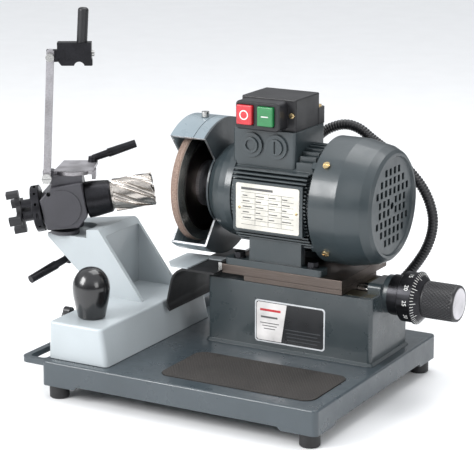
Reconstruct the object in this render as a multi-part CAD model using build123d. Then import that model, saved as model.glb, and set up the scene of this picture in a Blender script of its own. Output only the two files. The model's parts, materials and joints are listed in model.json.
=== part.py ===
"""Bench grinder for annular (core) cutters: motor on a fine-feed slide at the right, sliding work head with
an index spindle at the left, all on one cast base.  Millimetres, +Z up, +X along the motor axis towards the
feed knob, -Y towards the operator.  The dimensions below count from the middle of the base plate; export moves
every part by SHIFT_X, so that the written origin is the bottom centre of the whole machine's extent."""

import os
from math import atan2, cos, degrees, pi, radians, sin, sqrt, tan

from build123d import *

# ---------------------------------------------------------------- driving dimensions
SHIFT_X = 28.58
FOOT_HEIGHT = 16.0
BASE_X, BASE_Y = 178.0, 158.5                 # half length and half depth of the base
BASE_TOP = 45.5
BASE_WALL = 8.0
PAD_LENGTH, PAD_HEIGHT = 48.0, 4.0            # corner pads of the base's skirt

RISER = dict(x0=-50.0, x1=164.0, y0=4.5, y1=104.0, top=124.5, wall=8.0)
MOTOR_Y, MOTOR_Z = 51.5, 225.0                # motor and grinding spindle axis, along X
SCREW_Z = 121.0                               # lead screw axis, along X, above MOTOR_Y

TABLE = dict(x0=-31.0, x1=126.0, y0=4.5, y1=126.0, z0=130.8, z1=142.0)
SLIDE = dict(x0=-1.5, x1=126.0, y0=5.0, y1=98.0, z0=125.0)
FIT = 0.3                                     # gap between bodies that slide past each other
RUN = 0.05                                    # radial clearance of a running fit

STATOR_X0, STATOR_X1 = -14.0, 88.0
FRAME_R, FIN_R, BORE_R = 56.0, 61.0, 47.0
SHAFT_R, BEARING_R = 8.5, 20.0
WHEEL_R, WHEEL_LEFT, WHEEL_RIGHT = 70.0, -87.0, -75.0
GUARD_R, GUARD_LEFT, GUARD_SEAM, GUARD_RIGHT = 82.0, -98.0, -52.6, -50.0
GUARD_OPEN = 52.0                             # half angle of the guard's open front

STUD_R = 3.0                                  # studs of the clamping knobs and levers
PED = dict(x0=-176.0, x1=-95.0, y0=-147.0, y1=86.0, top=89.5, top_x0=-175.5, top_x1=-103.5)
NECK_Y0, NECK_Y1 = -28.0, 57.0
SWIVEL_X, SWIVEL_Y = -237.0, -18.0            # vertical swivel axis of the work head
SEAT_Z = 158.9                                # where the swivel turntable sits on the neck
HEAD_Z = 194.6                                # height of the index spindle axis above the swivel axis
HEAD_YAW, HEAD_TILT = 30.0, 10.0              # rest directions of the index spindle

FEED_X = 171.0                                # face of the feed bracket that carries the dial
BUTTON_TRAVEL = 3.0

# ---------------------------------------------------------------- helpers


def block(x0, x1, y0, y1, z0, z1):
    """Box between two corners."""
    return Pos((x0 + x1) / 2, (y0 + y1) / 2, (z0 + z1) / 2) * Box(x1 - x0, y1 - y0, z1 - z0)


def rod_x(x0, x1, radius, y=MOTOR_Y, z=MOTOR_Z):
    """Cylinder along X."""
    return Pos((x0 + x1) / 2, y, z) * Rot(0, 90, 0) * Cylinder(radius, x1 - x0)


def rod_y(x, y0, y1, z, radius):
    """Cylinder along Y."""
    return Pos(x, (y0 + y1) / 2, z) * Rot(90, 0, 0) * Cylinder(radius, y1 - y0)


def rod_z(x, y, z0, z1, radius):
    """Cylinder along Z."""
    return Pos(x, y, (z0 + z1) / 2) * Cylinder(radius, z1 - z0)


def turned(profile, y=MOTOR_Y, z=MOTOR_Z):
    """Body of revolution about an X axis, from (x, radius) points."""
    face = make_face(Polyline(*[(x, 0, r) for x, r in profile], close=True))
    return Pos(0, y, z) * revolve(face, Axis.X)


def prism_y(points, y0, y1):
    """Prism along Y from an outline of (x, z) points."""
    face = make_face(Polyline(*[(x, y0, z) for x, z in points], close=True))
    return extrude(face, amount=y1 - y0, dir=(0, 1, 0))


def vertical_fillet(shape, radius):
    """Round the edges that run along Z."""
    return fillet(shape.edges().filter_by(Axis.Z), radius)


def bar_between(start, end, r0, r1):
    """Round tapered bar between two points."""
    a, b = Vector(*start), Vector(*end)
    plane0 = Plane(origin=a, z_dir=b - a)
    plane1 = Plane(origin=b, z_dir=b - a)
    return loft([plane0 * Circle(r0), plane1 * Circle(r1)])


def export(name, shape):
    """Write one node."""
    moved = Pos(SHIFT_X, 0, 0) * shape
    moved.label = name
    export_step(moved, "parts/" + name + ".step")


def hex_head(x, y, z0, height, across):
    """Hexagonal bolt head standing on z0."""
    return extrude(Pos(x, y, z0) * RegularPolygon(across / sqrt(3), 6), amount=height)


# the work head frame: swivel axis vertical, local x along the index axis's plan direction
SWIVEL = Location((SWIVEL_X, SWIVEL_Y, 0), (0, 0, HEAD_YAW))
HEAD = SWIVEL * Location((0, 0, HEAD_Z), (0, -HEAD_TILT, 0))


def head_turned(profile):
    """Body of revolution on the index spindle axis, from (a, radius) points."""
    face = make_face(Polyline(*[(a, 0, r) for a, r in profile], close=True))
    return HEAD * revolve(face, Axis.X)


# ---------------------------------------------------------------- base

FOOT_XY = [(sx * 163.0, sy * 144.0) for sx in (-1, 1) for sy in (-1, 1)]
HANDLE = dict(x0=-208.0, y0=-157.0, y1=-40.0, bar=7.5, z0=39.0)
MAT = dict(x0=-35.0, x1=160.0, y0=-136.0, y1=-40.0, recess=1.0, thick=2.0)
WAY = dict(x=-136.0, half=17.0, top=59.0, y0=-118.0, y1=150.0)


def base_casting():
    """Hollow base plate with corner pads, side handle, mat recess and the pedestal's guide way."""
    body = block(-BASE_X, BASE_X, -BASE_Y, BASE_Y, FOOT_HEIGHT, BASE_TOP)
    body = vertical_fillet(body, 6)
    body = fillet(body.faces().sort_by(Axis.Z)[-1].edges(), 2.5)
    long_x, long_y = BASE_X - PAD_LENGTH, BASE_Y - PAD_LENGTH
    z0, z1 = FOOT_HEIGHT - 1, FOOT_HEIGHT + PAD_HEIGHT
    arch = [(-long_x - 5, z0), (-long_x, z1), (long_x, z1), (long_x + 5, z0)]
    body -= prism_y(arch, -BASE_Y - 1, BASE_Y + 1)
    arch = [(-long_y - 5, z0), (-long_y, z1), (long_y, z1), (long_y + 5, z0)]
    body -= Rot(0, 0, 90) * prism_y(arch, -BASE_X - 1, BASE_X + 1)
    inner = block(-BASE_X + BASE_WALL, BASE_X - BASE_WALL, -BASE_Y + BASE_WALL, BASE_Y - BASE_WALL,
                  FOOT_HEIGHT - 1, BASE_TOP - BASE_WALL)
    for x, y in FOOT_XY:
        inner -= rod_z(x, y, 0, 60, 13)
    body -= inner
    h = HANDLE
    loop = block(h["x0"], -BASE_X + 4, h["y0"], h["y1"], h["z0"], BASE_TOP)
    loop = fillet(loop.edges().filter_by(Axis.Z).sort_by(Axis.X)[:2], 9)
    hole = block(h["x0"] + h["bar"], -BASE_X, h["y0"] + h["bar"], h["y1"] - h["bar"], 30, 50)
    body += loop - vertical_fillet(hole, 5)
    m = MAT
    recess = vertical_fillet(block(m["x0"], m["x1"], m["y0"], m["y1"], BASE_TOP - m["recess"], 60), 14)
    body -= recess
    body += block(WAY["x"] - WAY["half"], WAY["x"] + WAY["half"], WAY["y0"], WAY["y1"], 40, WAY["top"])
    for x, y in FOOT_XY:
        body -= rod_z(x, y, FOOT_HEIGHT - 1, FOOT_HEIGHT + 14, 3.0)
    return body


def rubber_feet():
    """Four turned rubber feet."""
    feet = []
    for x, y in FOOT_XY:
        foot = rod_z(x, y, 0, FOOT_HEIGHT, 11.5) - rod_z(x, y, FOOT_HEIGHT - 10, FOOT_HEIGHT + 1, 3.0)
        foot -= rod_z(x, y, -1, 4, 5.5)
        feet.append(chamfer(foot.edges().filter_by(GeomType.CIRCLE).group_by(Axis.Z)[0].sort_by(
            SortBy.RADIUS)[-1:], 1.2))
    return Compound(feet)


def tool_mat():
    """Ribbed rubber mat lying in the recess in front of the riser."""
    m = MAT
    z0 = BASE_TOP - m["recess"]
    mat = block(m["x0"] + 0.5, m["x1"] - 0.5, m["y0"] + 0.5, m["y1"] - 0.5, z0, z0 + m["thick"])
    return vertical_fillet(mat, 13.5)


# ---------------------------------------------------------------- riser, slide and feed

BRACKET = dict(x0=148.0, y0=27.0, y1=76.0, z0=97.0, z1=136.5)
CHANNEL = dict(y_bottom=(30.5, 72.5), y_top=(35.5, 67.5), z=111.5)
CABLE_SLOT = dict(x=136.0, z=99.0, half=16.0, r=9.0)


def riser_casting():
    """Hollow column with the dovetail channel of the feed slide along its top."""
    r = RISER
    body = block(r["x0"], r["x1"], r["y0"], r["y1"], BASE_TOP, r["top"])
    body = vertical_fillet(body, 5)
    foot = block(r["x0"] - 3, r["x1"] + 3, r["y0"] - 3, r["y1"] + 3, BASE_TOP, BASE_TOP + 3.4)
    body += chamfer(vertical_fillet(foot, 6).faces().sort_by(Axis.Z)[-1].edges(), 2.9)
    body -= block(r["x0"] + r["wall"], r["x1"] - r["wall"], r["y0"] + r["wall"], r["y1"] - r["wall"],
                  BASE_TOP - 1, CHANNEL["z"] - 8)
    c = CHANNEL
    channel = [(r["x0"] - 1, c["y_bottom"][0], c["z"]), (r["x0"] - 1, c["y_bottom"][1], c["z"]),
               (r["x0"] - 1, c["y_top"][1], r["top"] + 0.01), (r["x0"] - 1, c["y_top"][0], r["top"] + 0.01)]
    cut = extrude(make_face(Polyline(*channel, close=True)), amount=BRACKET["x0"] - r["x0"] + 1, dir=(1, 0, 0))
    body -= cut
    b = BRACKET
    body -= block(b["x0"], r["x1"] + 1, b["y0"], b["y1"], b["z0"], r["top"] + 1)
    s = CABLE_SLOT
    straight = s["half"] - s["r"]
    slot = block(s["x"] - straight, s["x"] + straight, 90, 110, s["z"] - s["r"], s["z"] + s["r"])
    for side in (-1, 1):
        slot += rod_y(s["x"] + side * (s["half"] - s["r"]), 90, 110, s["z"], s["r"])
    return body - slot


def feed_bracket():
    """End bracket that carries the lead screw's journal."""
    b = BRACKET
    body = block(b["x0"], RISER["x1"], b["y0"], b["y1"], b["z0"], b["z1"])
    body = fillet(body.edges().filter_by(Axis.X).sort_by(Axis.Z)[-2:], 6)
    body += rod_x(RISER["x1"], FEED_X, 22.5, z=SCREW_Z)
    return body - rod_x(b["x0"] - 1, FEED_X + 1, 5.0 + RUN, z=SCREW_Z)


def bearing_flange():
    """Fixed ring with the zero mark, between the bracket and the dial."""
    ring = turned([(FEED_X, 7.5), (FEED_X, 23.5), (FEED_X + 12.6, 23.5), (FEED_X + 13.4, 22.7),
                   (FEED_X + 13.4, 7.5)], z=SCREW_Z)
    return ring


def lead_screw():
    """Lead screw with its journal; the dial and the knob sit on the journal."""
    return turned([(-24, 0), (-24, 5.2), (-23, 6.0), (146, 6.0), (147, 5.0), (246, 5.0), (247, 4.0), (247, 0)],
                  z=SCREW_Z)


def feed_dial():
    """Drum with a bevelled graduated collar."""
    profile = [(185.0, 5.0), (185.0, 28.2), (185.8, 29.0), (200.6, 29.0), (201.0, 30.5), (202.4, 30.5),
               (211.0, 21.0), (211.0, 5.0)]
    return turned(profile, z=SCREW_Z)


def feed_knob():
    """Cylindrical knob with a recessed end."""
    profile = [(211.0, 5.0), (211.0, 20.5), (212.0, 21.5), (249.6, 21.5), (251.0, 20.1), (251.0, 18.2),
               (248.6, 18.2), (248.6, 5.0)]
    return turned(profile, z=SCREW_Z)


def knob_cap():
    """White disc pressed into the knob's end."""
    return turned([(248.6, 0), (248.6, 18.0), (250.8, 18.0), (251.4, 17.2), (251.4, 0)], z=SCREW_Z)


def slide_plate():
    """Feed slide with its dovetail tongue, bored for the lead screw and its nut."""
    s, c = SLIDE, CHANNEL
    body = block(s["x0"], s["x1"], s["y0"], s["y1"], s["z0"], TABLE["z0"])
    lo, hi = c["z"] + FIT, s["z0"] + 0.01
    slope = (c["y_top"][0] - c["y_bottom"][0]) / (RISER["top"] - c["z"])
    y_lo = c["y_bottom"][0] + slope * FIT + 0.5
    y_hi = c["y_bottom"][0] + slope * (hi - c["z"]) + 0.5
    far = c["y_bottom"][0] + c["y_bottom"][1]
    tongue = [(s["x0"], y_lo, lo), (s["x0"], far - y_lo, lo), (s["x0"], far - y_hi, hi), (s["x0"], y_hi, hi)]
    body += extrude(make_face(Polyline(*tongue, close=True)), amount=s["x1"] - s["x0"], dir=(1, 0, 0))
    body -= rod_x(s["x0"] - 1, s["x1"] + 1, 6.8, z=SCREW_Z)
    return body - rod_x(20, 60, 8.4, z=SCREW_Z)


def lead_nut():
    """Bronze nut pressed into the slide."""
    return rod_x(20, 60, 8.4, z=SCREW_Z) - rod_x(19, 61, 6.0 + RUN, z=SCREW_Z)


def table_plate():
    """Ground steel table that carries the motor."""
    t = TABLE
    plate = chamfer(block(t["x0"], t["x1"], t["y0"], t["y1"], t["z0"], t["z1"]).edges(), 0.6)
    for x, y in BOLT_XY:
        plate -= rod_z(x, y, t["z0"] - 1, t["z1"] + 1, 3.02)
    return plate


FLAP = dict(y0=-14.0, y1=96.0, thick=2.5, z=134.5)


def flap_clamp():
    """Bar that clamps the dust flap to the table's end."""
    return block(TABLE["x0"] - 4.5, TABLE["x0"], TABLE["y0"], 98.5, FLAP["z"], 142.8)


def dust_flap():
    """Rubber flap: level off the table's end, then curving down beside the pedestal and curling in."""
    f = FLAP
    z = f["z"] - f["thick"] / 2
    bend = CenterArc((-69, z - 21), 21, 90, 72)
    curl = CenterArc((-84, 88.5), 11.5, 168, 62)
    centre = [Vector(TABLE["x0"], z), Vector(-69, z)]
    centre += [bend @ (i / 8) for i in range(1, 9)]
    centre += [curl @ (i / 5) for i in range(6)]
    outer = []
    inner = []
    for i, point in enumerate(centre):
        before = centre[max(i - 1, 0)]
        after = centre[min(i + 1, len(centre) - 1)]
        run = (after - before).normalized()
        side = Vector(-run.Y, run.X, 0) * (f["thick"] / 2)
        outer.append(point - side)
        inner.append(point + side)
    outline = [(p.X, p.Y) for p in outer + inner[::-1]]
    return prism_y(outline, f["y0"], f["y1"])


def spark_tray():
    """Light sheet shelf under the wheel, lying on the level part of the dust flap."""
    z = FLAP["z"]
    left, right = -102.0, TABLE["x0"] - 4.5
    outline = Polyline((left, 2, z), (-90, -14, z), (-67, -14, z), (-67, 36, z), (right, 36, z), (right, 52, z),
                       (left, 46, z), close=True)
    return extrude(make_face(outline), amount=1.5, dir=(0, 0, 1))


# ---------------------------------------------------------------- motor


def motor_feet():
    """The two foot rails and the webs that carry the stator frame."""
    feet = []
    for y0, y1 in ((5.0, 25.0), (78.0, 98.0)):
        rail = vertical_fillet(block(-27, 99, y0, y1, TABLE["z1"], 150), 4)
        feet.append(rail + block(3, 71, y0 + 5, y1 - 5, 150, 195))
    return feet


COVER_SCREW_ANGLES = (43, 137, 223, 317)
BOLT_XY = [(x, y) for x in (-12.0, 84.0) for y in (15.0, 88.0)]
FIN_ANGLES = range(-120, 37, 12)              # from straight back, positive upwards
FRONT_FINS = [35.5 - 4.35 * k for k in range(21)]
PAD = dict(x0=-8.0, x1=82.0, z0=190.0, z1=249.0)


def motor_housing():
    """Finned stator frame with feet and the flat pad of the rating plate."""
    body = rod_x(STATOR_X0, STATOR_X1, FRAME_R)
    for angle in FIN_ANGLES:
        fin = block(STATOR_X0 + 3, STATOR_X1 - 3, FRAME_R - 3, FIN_R, -1.3, 1.3)
        body += Pos(0, MOTOR_Y, MOTOR_Z) * Rot(angle, 0, 0) * fin
    for step in range(-5, 6):
        y, reach = 8 * step, sqrt((FIN_R + 1) ** 2 - 64 * step ** 2)
        body += block(TBOX["x1"] + 1.5, STATOR_X1 - 3, MOTOR_Y + y - 1.7, MOTOR_Y + y + 1.7, MOTOR_Z + 30,
                      MOTOR_Z + reach)
    for up in FRONT_FINS:
        beside_pad = PAD["z0"] - 1.5 < MOTOR_Z + up < PAD["z1"] + 1.5
        radius = FIN_R - 1 if beside_pad else FIN_R + 3
        reach = sqrt(radius ** 2 - up ** 2)
        inner = sqrt(FRAME_R ** 2 - up ** 2) - 2
        body += block(STATOR_X0 + 3, STATOR_X1 - 3, MOTOR_Y - reach, MOTOR_Y - inner, MOTOR_Z + up - 1,
                      MOTOR_Z + up + 1)
    for foot in motor_feet():
        body += foot
    body += block(PAD["x0"], PAD["x1"], MOTOR_Y - 60.5, MOTOR_Y - 30, PAD["z0"], PAD["z1"])
    for x, y in BOLT_XY:
        body -= rod_z(x, y, 140, 151, 3.6)
    return body - rod_x(STATOR_X0 - 1, STATOR_X1 + 1, BORE_R)


def motor_foot_bolts():
    """Hexagon bolts through the feet into the table."""
    bolts = []
    for x, y in BOLT_XY:
        bolt = hex_head(x, y, 151.6, 5.3, 12.0) + rod_z(x, y, 132.5, 151.6, 3.0)
        bolts.append(bolt + rod_z(x, y, 150, 151.6, 7.5))
    return Compound(bolts)


def front_end_shield():
    """Domed drive-end shield with the bearing seat."""
    shell = turned([(-14, 47), (-14, 58), (-22, 58), (-31, 56.5), (-40, 53), (-46, 48.5), (-50, 44.5),
                    (-50, 10), (-46, 10), (-46, BEARING_R + RUN), (-34, BEARING_R + RUN), (-34, 25),
                    (-44, 25), (-43, 43), (-34, 49), (-20, 53), (-16, 53), (-16, 47)])
    return shell


def rear_end_shield():
    """Flat non-drive end shield with the bearing seat."""
    shield = turned([(88, 47), (88, 56), (96, 56), (96, 25), (103, 25), (103, 10), (100, 10),
                     (100, BEARING_R + RUN), (88.4, BEARING_R + RUN), (88.4, 25), (91, 25), (91, 47)])
    for angle in COVER_SCREW_ANGLES:
        at = Pos(0, MOTOR_Y, MOTOR_Z) * Rot(angle - 90, 0, 0)
        shield += at * block(90, 113, -4, 4, 52, COVER["r"] - COVER["sheet"] - 0.3)
        shield -= at * Pos(COVER["screw_x"], 0, 66) * Cylinder(1.85, 20)
    return shield


def motor_bearings():
    """The two deep-groove ball bearings on the shaft."""
    rings = []
    for x0 in (-46.0, 88.2):
        ring = rod_x(x0, x0 + 11.6, BEARING_R) - rod_x(x0 - 1, x0 + 13, SHAFT_R)
        rings.append(ring)
    return Compound(rings)


def stator():
    """Laminated core with the copper winding heads at both ends."""
    core = rod_x(4, 70, BORE_R) - rod_x(3, 71, 31.0)
    for x0, x1 in ((-9, 4), (70, 82)):
        core += rod_x(x0, x1, 44) - rod_x(x0 - 1, x1 + 1, 33)
    return core


def motor_shaft():
    """Stepped shaft: wheel seat and thread at the left, fan seat at the right."""
    return turned([(-106, 0), (-106, 7), (-105, 8), (-52, 8), (-50, 8), (-49, SHAFT_R), (-34.2, SHAFT_R),
                   (-34.2, 11), (88, 11), (88, SHAFT_R), (100, SHAFT_R), (100, 6.5), (134, 6.5), (134, 0)])


def rotor_core():
    """Squirrel-cage rotor pressed on the shaft."""
    return rod_x(4, 70, 30.4) + rod_x(-2, 76, 27) - rod_x(-3, 77, 11)


def cooling_fan():
    """Radial fan at the rear of the shaft."""
    fan = rod_x(112, 130, 12) + (rod_x(112, 114, 50) - rod_x(111, 115, 11))
    for k in range(8):
        blade = block(113, 130, 10, 50, -1, 1)
        fan += Pos(0, MOTOR_Y, MOTOR_Z) * Rot(k * 45, 0, 0) * blade
    return fan - rod_x(111, 131, 6.5)


COVER = dict(x0=95.5, x1=168.0, r=73.8, sheet=1.6, screw_x=109.0)
SLOT_ROWS = [(40.6, 4), (29.0, 6), (17.4, 8), (5.8, 6), (-5.8, 6), (-17.4, 8), (-29.0, 6), (-40.6, 4)]


def fan_cover():
    """Deep-drawn cowl: straight skirt, tapering shoulder, rolled rim, air slots in its flat end."""
    c = COVER
    end = c["x1"] - 2.5
    outside = [(c["x0"], c["r"]), (128, c["r"]), (156, 68.5), (165, 64),
               (c["x1"], 60.5), (c["x1"], 57.5), (end, 56),
               (end, 0)]
    inside = [(end - c["sheet"], 0), (end - c["sheet"], 57), (154.5, 67), (127.5, c["r"] - c["sheet"]),
              (c["x0"], c["r"] - c["sheet"])]
    body = turned(outside + inside)
    slots = []
    for z, count in SLOT_ROWS:
        inner_gap = 8.5 if abs(z) < 6 else 0.0
        for k in range(count):
            offset = (k - (count - 1) / 2) * 11.3
            offset += inner_gap * (1 if offset > 0 else -1) * 0.5
            slots.append(block(c["x1"] - 8, c["x1"] + 1, MOTOR_Y + offset - 3.0, MOTOR_Y + offset + 3.0,
                               MOTOR_Z + z - 4, MOTOR_Z + z + 4))
    body -= Compound(slots)
    for angle in COVER_SCREW_ANGLES:
        at = Pos(0, MOTOR_Y, MOTOR_Z) * Rot(angle - 90, 0, 0)
        body -= at * Pos(c["screw_x"], 0, c["r"]) * Cylinder(1.85, 9)
    return body - rod_x(c["x1"] - 8, c["x1"] + 1, 4.2)


def fan_cover_screws():
    """Radial screws that hold the cowl to the rear shield's lugs."""
    x, r = COVER["screw_x"], COVER["r"]
    screws = []
    for angle in COVER_SCREW_ANGLES:
        shape = Pos(x, 0, r - 6) * Cylinder(1.8, 12.6) + Pos(x, 0, r + 1.4) * Cylinder(4.2, 2.4)
        shape -= block(x - 5, x + 5, -0.6, 0.6, r + 1.8, r + 4)
        screws.append(Pos(0, MOTOR_Y, MOTOR_Z) * Rot(angle - 90, 0, 0) * shape)
    return Compound(screws)


TBOX = dict(x0=-19.0, x1=62.5, y0=10.0, y1=84.0, z0=255.0, z1=306.0)
PLUG_X = (6.0, 38.0)
PLUG_Z = 287.5


def terminal_box():
    """Cast terminal box saddled on the stator frame."""
    t = TBOX
    body = vertical_fillet(block(t["x0"], t["x1"], t["y0"], t["y1"], t["z0"], t["z1"]), 4)
    body -= block(t["x0"] + 4, t["x1"] - 4, t["y0"] + 4, t["y1"] - 4, 268, 302)
    body -= rod_x(t["x0"] - 1, t["x1"] + 1, FRAME_R)
    body -= rod_x(t["x0"] - 1, STATOR_X0, 59)
    for x in PLUG_X:
        body += rod_y(x, t["y0"] - 2.5, t["y0"], PLUG_Z, 14.5)
        body -= rod_y(x, t["y0"] - 4, t["y0"] + 5, PLUG_Z, 9.5)
    return body - rod_y(GLAND_X, t["y1"] - 6, t["y1"] + 1, GLAND_Z, 5.0)


def box_plugs():
    """Threaded blanking plugs in the two unused cable entries."""
    plugs = []
    for x in PLUG_X:
        plug = rod_y(x, 5.5, 14.5, PLUG_Z, 9.5)
        if x == PLUG_X[1]:
            plug -= block(x - 1, x + 1, 5, 7, PLUG_Z - 7, PLUG_Z + 7)
        else:
            plug -= rod_y(x, 5, 7.5, PLUG_Z, 6.0)
        plugs.append(plug)
    return Compound(plugs)


SW = dict(x0=-9.5, x1=61.0, y0=14.0, y1=86.0, z0=306.0, z1=343.5, step_y=73.0, step_z=325.5)
SW_SCREW_X, SW_SCREW_Z = 56.4, 325.0
BEZEL = dict(x0=-6.5, x1=50.0, y0=-6.0, z0=308.0, z1=341.0)
BUTTONS = {"stop_button": (-3.6, 16.4), "start_button": (23.2, 43.2)}
BUTTON_Z = (314.0, 336.5)


def switch_box():
    """Plastic switch housing with a deep square bezel around the two buttons."""
    s, b = SW, BEZEL
    body = vertical_fillet(block(s["x0"], s["x1"], s["y0"], s["step_y"], s["z0"], s["z1"]), 2)
    body = fillet(body.faces().sort_by(Axis.Z)[-1].edges(), 1.8)
    body += vertical_fillet(block(s["x0"] + 2, s["x1"] + 1, 68, s["y1"], s["z0"], s["step_z"]), 3)
    bezel = block(b["x0"], b["x1"], b["y0"], s["y0"] + 3, b["z0"], b["z1"])
    bezel = fillet(bezel.edges().filter_by(Axis.Y), 5)
    bezel = chamfer(bezel.faces().sort_by(Axis.Y)[0].edges(), 1.2)
    body += bezel
    body -= rod_y(SW_SCREW_X, 13, 17, SW_SCREW_Z, 1.65)
    for x0, x1 in BUTTONS.values():
        body -= block(x0 - 0.6, x1 + 0.6, b["y0"] - 1, s["y0"] + 14, BUTTON_Z[0] - 0.6, BUTTON_Z[1] + 0.6)
    return body - block(s["x0"] + 3, s["x1"] - 3, s["y0"] + 14, 66, s["z0"] - 1, s["z1"] - 3)


def button(name):
    """Square push button with rounded edges."""
    x0, x1 = BUTTONS[name]
    shape = block(x0, x1, BEZEL["y0"] - 4, 20, *BUTTON_Z)
    shape = fillet(shape.edges().filter_by(Axis.Y), 1.5)
    return fillet(shape.faces().sort_by(Axis.Y)[0].edges(), 1.2)


def switch_screws():
    """Brass screws of the switch housing, at the front and at the rear step."""
    x, z, top = SW_SCREW_X, SW_SCREW_Z, SW["step_z"]
    front = rod_y(x, 11.2, 14, z, 3.2) + rod_y(x, 14, 16.5, z, 1.6)
    front -= block(x - 4, x + 4, 11, 12.1, z - 0.5, z + 0.5)
    rear = rod_z(57.5, 78, top, top + 2.8, 3.2)
    rear -= block(53, 62, 77.5, 78.5, top + 1.9, top + 4)
    return Compound([front, rear])


# ---------------------------------------------------------------- conduit

CONDUIT_D = 12.5
GLAND_X, GLAND_Z = 42.0, 284.0
CONDUIT_ROUTE = [
    (42, 100, 284), (42, 110, 284), (48, 122, 291), (67, 128, 298), (87, 128, 294.2), (103, 128, 282.4),
    (135, 128, 264), (163, 128, 239.6), (176.3, 128, 220.8), (183.4, 128, 199.9), (183.6, 128, 184.2),
    (180.4, 128, 169.3), (174.3, 127, 153.8), (163.3, 126, 136.4), (150, 124, 119), (138, 118, 106),
    (132, 108, 99.5), (132, 92, 99),
]


def conduit():
    """Corrugated conduit from the terminal box round the cowl to the riser, as straight runs and arcs."""
    points = [Vector(*p) for p in CONDUIT_ROUTE]
    radii = []
    for i in range(1, len(points) - 1):
        before, after = points[i] - points[i - 1], points[i + 1] - points[i]
        turn = radians(before.get_angle(after))
        radii.append(0.45 * min(before.length, after.length) / tan(turn / 2))
    print("conduit radii", [round(r, 1) for r in radii])
    path = FilletPolyline(*points, radius=radii)
    start = Plane(origin=path @ 0, z_dir=path % 0)
    tube = sweep(start * Circle(CONDUIT_D / 2), path=path)
    expected = pi * CONDUIT_D ** 2 / 4 * path.length
    print("conduit volume", round(tube.volume), "section x length", round(expected))
    return tube


def conduit_gland():
    """Screwed gland on the back of the terminal box."""
    return rod_y(GLAND_X, 84, 92, GLAND_Z, 10.5) + rod_y(GLAND_X, 92, 100, GLAND_Z, 8.5) + rod_y(
        GLAND_X, 78.5, 84, GLAND_Z, 5.0)


# ---------------------------------------------------------------- wheel and guard


def grinding_wheel():
    """Flat dish wheel: abrasive rim on a thin turned body."""
    profile = [(WHEEL_LEFT, 8), (WHEEL_LEFT, 50), (-82, 56), (-82, 61), (WHEEL_LEFT, 63), (WHEEL_LEFT, 69.2),
               (-86.2, WHEEL_R), (-79, WHEEL_R), (-77.6, 68.6), (WHEEL_RIGHT, 57), (-77.8, 50), (-77.8, 8)]
    return turned(profile)


def wheel_flanges():
    """Clamping flanges on both sides of the wheel."""
    inner = turned([(-77.8, 8), (-77.8, 27.5), (-73.5, 27.5), (-71, 24), (-71, 14), (-52.4, 13), (-52.4, 8)])
    outer = turned([(-93, 8), (-93, 20), (-91, 22), (WHEEL_LEFT, 22), (WHEEL_LEFT, 8)])
    return Compound([inner, outer])


def wheel_nut():
    """Hexagon nut on the spindle's end."""
    nut = Pos(-93, MOTOR_Y, MOTOR_Z) * Rot(0, -90, 0) * extrude(RegularPolygon(14, 6), amount=9)
    return nut - rod_x(-103, -92, 8)


def sector(x0, x1):
    """Wedge of the guard's open front, facing -Y."""
    reach = 120.0
    outline = [(0, 0), (-reach * cos(radians(GUARD_OPEN)), reach * sin(radians(GUARD_OPEN))), (-reach, 0),
               (-reach * cos(radians(GUARD_OPEN)), -reach * sin(radians(GUARD_OPEN)))]
    face = make_face(Polyline(*[(x0, MOTOR_Y + y, MOTOR_Z + z) for y, z in outline], close=True))
    return extrude(face, amount=x1 - x0, dir=(1, 0, 0))


def guard_band():
    """Sheet band round the wheel with its left wall; a groove marks the joint of the two halves."""
    band = rod_x(GUARD_LEFT, GUARD_SEAM, GUARD_R) - rod_x(GUARD_LEFT + 2.5, GUARD_SEAM + 1, GUARD_R - 2.5)
    band -= rod_x(GUARD_LEFT - 1, GUARD_LEFT + 3, 50)
    band -= rod_z(-75, MOTOR_Y - 8, MOTOR_Z + 60, MOTOR_Z + 90, 2.52)
    groove = rod_x(-67.4, -66.4, GUARD_R + 1) - rod_x(-67.4, -66.4, GUARD_R - 0.9)
    return band - groove - sector(GUARD_LEFT - 1, GUARD_SEAM + 1)


def guard_backplate():
    """Motor-side wall of the guard, screwed to the drive-end shield."""
    plate = rod_x(GUARD_SEAM, GUARD_RIGHT, GUARD_R) - sector(GUARD_SEAM - 1, GUARD_RIGHT + 1)
    plate += rod_x(GUARD_SEAM, GUARD_RIGHT, 46)
    return plate - rod_x(GUARD_SEAM - 1, GUARD_RIGHT + 1, 16)


def guard_screw():
    """Cap screw on top of the guard band."""
    x, y = -75.0, MOTOR_Y - 8
    top = MOTOR_Z + sqrt(GUARD_R ** 2 - 8 ** 2)
    return rod_z(x, y, top - 2.6, top + 0.6, 2.5) + rod_z(x, y, top + 0.5, top + 6.5, 4.6)


# ---------------------------------------------------------------- pedestal


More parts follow.
